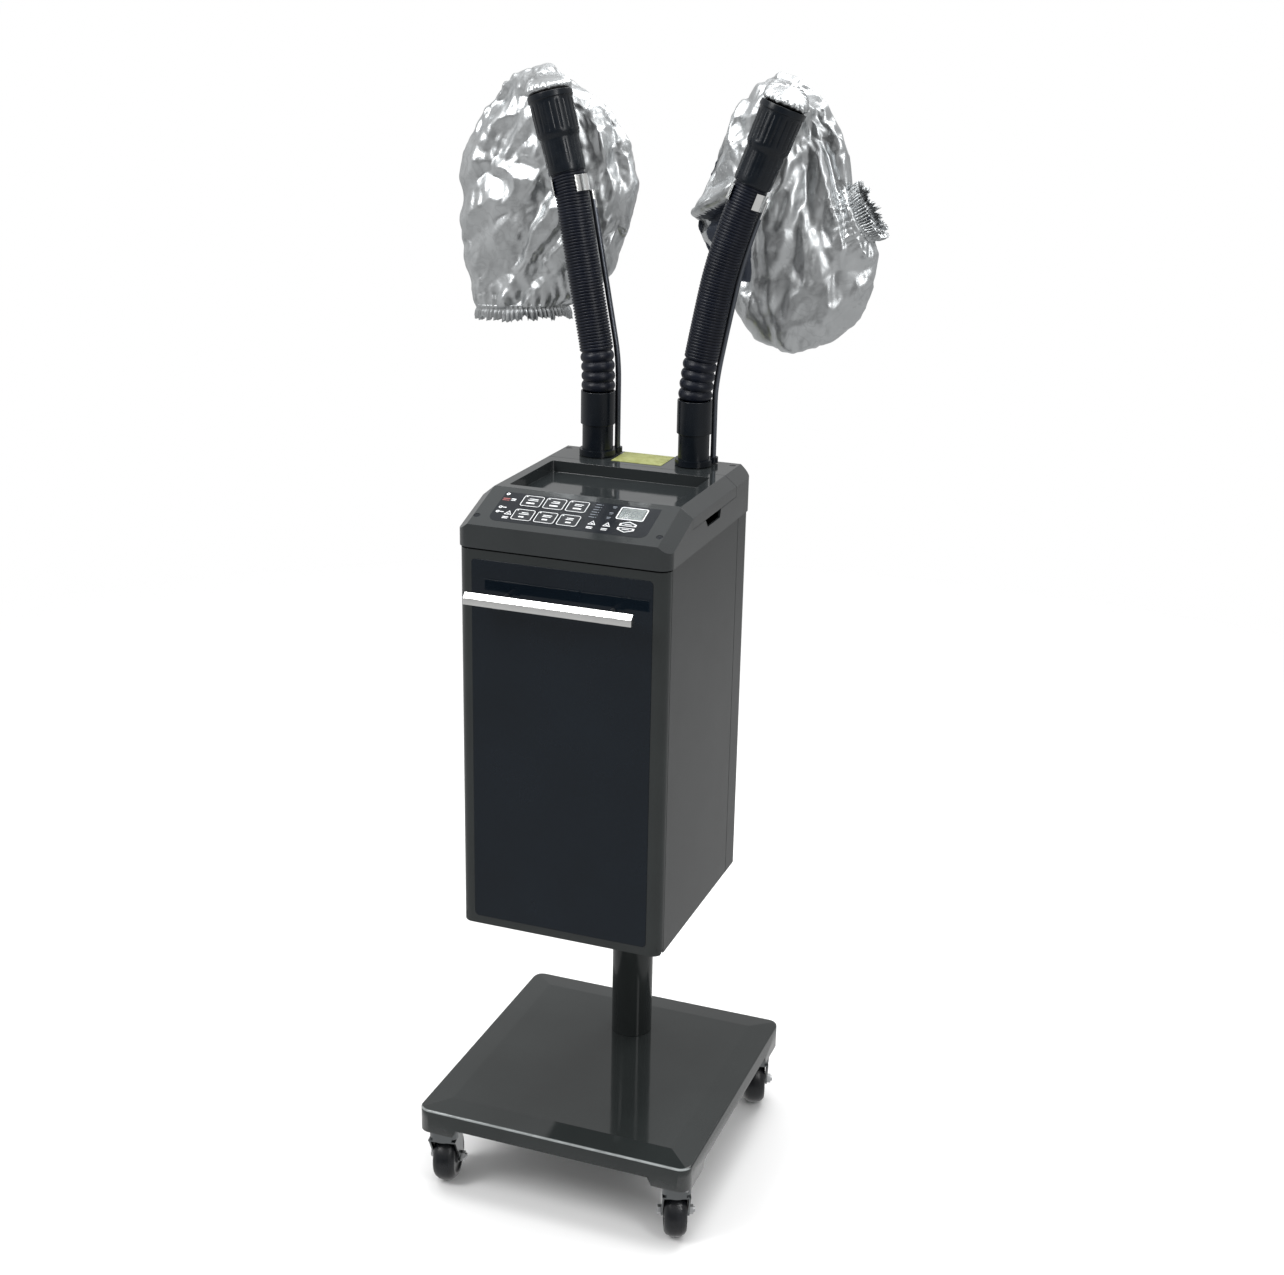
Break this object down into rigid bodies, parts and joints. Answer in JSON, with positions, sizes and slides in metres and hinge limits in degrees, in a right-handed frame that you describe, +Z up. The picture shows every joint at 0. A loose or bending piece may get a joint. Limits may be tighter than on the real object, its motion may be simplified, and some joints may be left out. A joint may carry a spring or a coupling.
{
  "type": "hood hair dryer",
  "caption": "Salon hair dryer: cabinet on a wheeled column stand, with swivelling hose arms that carry soft silver bonnets.",
  "frame": {"origin": "middle of the bounding box on the floor, under the casters", "axes": "+X to the right as seen from the front, +Y to the back, +Z up"},
  "size_m": [0.634, 0.497, 1.5515],
  "materials": {
    "shell_coat": "gloss",
    "cover_plastic": "gloss",
    "gloss_panel": "gloss",
    "zinc_steel": "satin",
    "caster_chrome": "polished",
    "caster_rubber": "satin",
    "bar_chrome": "polished",
    "key_plastic": "satin",
    "display_glass": "gloss",
    "board": "satin",
    "plate_card": "satin",
    "fan_plastic": "satin",
    "rocker_red": "gloss",
    "mica": "matte",
    "port_plastic": "gloss",
    "hose_plastic": "satin",
    "silver_fabric": "metallic"
  },
  "bodies": {
    "cabinet": {"base_pan": "shell_coat", "column_tube": "shell_coat", "column_fittings": "shell_coat", "frame_bolts": "zinc_steel", "caster_plates": "zinc_steel", "bottom_pan": "shell_coat", "side_panel_left": "shell_coat", "side_panel_right": "shell_coat", "rear_shell": "shell_coat", "bulkhead": "zinc_steel", "top_cover": "cover_plastic", "key_overlay": "gloss_panel", "display_window": "display_glass", "control_board": "board", "screw_caps": "gloss_panel", "blank_plate": "plate_card", "hinge_brackets": "zinc_steel", "blower_housings": "zinc_steel", "blower_motors": "zinc_steel", "heater_tubes": "mica", "power_inlet": "fan_plastic", "port_pipes": "port_plastic"},
    "door": {"door_shell": "shell_coat", "door_panel": "gloss_panel", "handle_bar": "bar_chrome", "handle_posts": "bar_chrome"},
    "lid": {"tray_lid": "cover_plastic"},
    "fork_fl": {"caster_fork_fl": "caster_chrome", "caster_axle_fl": "zinc_steel"},
    "fork_fr": {"caster_fork_fr": "caster_chrome", "caster_axle_fr": "zinc_steel"},
    "fork_rl": {"caster_fork_rl": "caster_chrome", "caster_axle_rl": "zinc_steel"},
    "fork_rr": {"caster_fork_rr": "caster_chrome", "caster_axle_rr": "zinc_steel"},
    "wheel_fl": {"wheel_fl": "caster_rubber"},
    "wheel_fr": {"wheel_fr": "caster_rubber"},
    "wheel_rl": {"wheel_rl": "caster_rubber"},
    "wheel_rr": {"wheel_rr": "caster_rubber"},
    "button_1": {"key_1": "key_plastic"},
    "button_2": {"key_2": "key_plastic"},
    "button_3": {"key_3": "key_plastic"},
    "button_4": {"key_4": "key_plastic"},
    "button_5": {"key_5": "key_plastic"},
    "button_6": {"key_6": "key_plastic"},
    "button_up": {"key_up": "key_plastic"},
    "button_down": {"key_down": "key_plastic"},
    "fan_left": {"impeller_left": "fan_plastic"},
    "fan_right": {"impeller_right": "fan_plastic"},
    "rocker": {"power_rocker": "rocker_red"},
    "arm_left": {"support_arm_left": "bar_chrome", "cuff_left": "port_plastic", "hose_left": "hose_plastic", "nozzle_left": "port_plastic", "bonnet_left": "silver_fabric"},
    "arm_right": {"support_arm_right": "bar_chrome", "cuff_right": "port_plastic", "hose_right": "hose_plastic", "nozzle_right": "port_plastic", "bonnet_right": "silver_fabric"}
  },
  "joints": [
    {"name": "swivel_fl", "type": "hinge", "parent": "cabinet", "child": "fork_fl", "pos_m": [-0.157, -0.2075, 0.08], "axis": [0, 0, 1], "continuous": true},
    {"name": "roll_fl", "type": "hinge", "parent": "fork_fl", "child": "wheel_fl", "pos_m": [-0.16082, -0.18787, 0.0375], "axis": [-0.9816, -0.1908, 0], "continuous": true},
    {"name": "swivel_fr", "type": "hinge", "parent": "cabinet", "child": "fork_fr", "pos_m": [0.199, -0.2075, 0.08], "axis": [0, 0, 1], "continuous": true},
    {"name": "roll_fr", "type": "hinge", "parent": "fork_fr", "child": "wheel_fr", "pos_m": [0.19151, -0.18896, 0.0375], "axis": [-0.9272, -0.3746, 0], "continuous": true},
    {"name": "swivel_rl", "type": "hinge", "parent": "cabinet", "child": "fork_rl", "pos_m": [-0.157, 0.1585, 0.08], "axis": [0, 0, 1], "continuous": true},
    {"name": "roll_rl", "type": "hinge", "parent": "fork_rl", "child": "wheel_rl", "pos_m": [-0.16047, 0.1782, 0.0375], "axis": [-0.9848, -0.1736, 0], "continuous": true},
    {"name": "swivel_rr", "type": "hinge", "parent": "cabinet", "child": "fork_rr", "pos_m": [0.199, 0.1585, 0.08], "axis": [0, 0, 1], "continuous": true},
    {"name": "roll_rr", "type": "hinge", "parent": "fork_rr", "child": "wheel_rr", "pos_m": [0.19282, 0.17752, 0.0375], "axis": [-0.9511, -0.309, 0], "continuous": true},
    {"name": "door_tilt", "type": "hinge", "parent": "cabinet", "child": "door", "pos_m": [0.021, -0.194, 0.445], "axis": [1, 0, 0], "range_deg": [0, 30]},
    {"name": "lid_lift", "type": "slide", "parent": "cabinet", "child": "lid", "axis": [0, 0, 1], "range_m": [0, 0.08]},
    {"name": "arm_turn_left", "type": "hinge", "parent": "cabinet", "child": "arm_left", "pos_m": [-0.05, 0.0905, 1.0405], "axis": [0, 0, 1], "range_deg": [-18, 75]},
    {"name": "arm_turn_right", "type": "hinge", "parent": "cabinet", "child": "arm_right", "pos_m": [0.092, 0.0905, 1.0405], "axis": [0, 0, -1], "range_deg": [-18, 75]},
    {"name": "press_1", "type": "slide", "parent": "cabinet", "child": "button_1", "axis": [0, 0.3377, -0.9412], "range_m": [0, 0.0006], "stiffness_N_per_m": 400},
    {"name": "press_2", "type": "slide", "parent": "cabinet", "child": "button_2", "axis": [0, 0.3377, -0.9412], "range_m": [0, 0.0006], "stiffness_N_per_m": 400},
    {"name": "press_3", "type": "slide", "parent": "cabinet", "child": "button_3", "axis": [0, 0.3377, -0.9412], "range_m": [0, 0.0006], "stiffness_N_per_m": 400},
    {"name": "press_4", "type": "slide", "parent": "cabinet", "child": "button_4", "axis": [0, 0.3377, -0.9412], "range_m": [0, 0.0006], "stiffness_N_per_m": 400},
    {"name": "press_5", "type": "slide", "parent": "cabinet", "child": "button_5", "axis": [0, 0.3377, -0.9412], "range_m": [0, 0.0006], "stiffness_N_per_m": 400},
    {"name": "press_6", "type": "slide", "parent": "cabinet", "child": "button_6", "axis": [0, 0.3377, -0.9412], "range_m": [0, 0.0006], "stiffness_N_per_m": 400},
    {"name": "press_up", "type": "slide", "parent": "cabinet", "child": "button_up", "axis": [0, 0.3377, -0.9412], "range_m": [0, 0.0006], "stiffness_N_per_m": 400},
    {"name": "press_down", "type": "slide", "parent": "cabinet", "child": "button_down", "axis": [0, 0.3377, -0.9412], "range_m": [0, 0.0006], "stiffness_N_per_m": 400},
    {"name": "rocker_switch", "type": "hinge", "parent": "cabinet", "child": "rocker", "pos_m": [0.033, 0.1185, 0.496], "axis": [1, 0, 0], "range_deg": [0, 16]},
    {"name": "fan_spin_left", "type": "hinge", "parent": "cabinet", "child": "fan_left", "pos_m": [-0.05, 0.0605, 0.7], "axis": [0, 1, 0], "continuous": true},
    {"name": "fan_spin_right", "type": "hinge", "parent": "cabinet", "child": "fan_right", "pos_m": [0.092, 0.0605, 0.7], "axis": [0, 1, 0], "continuous": true}
  ]
}
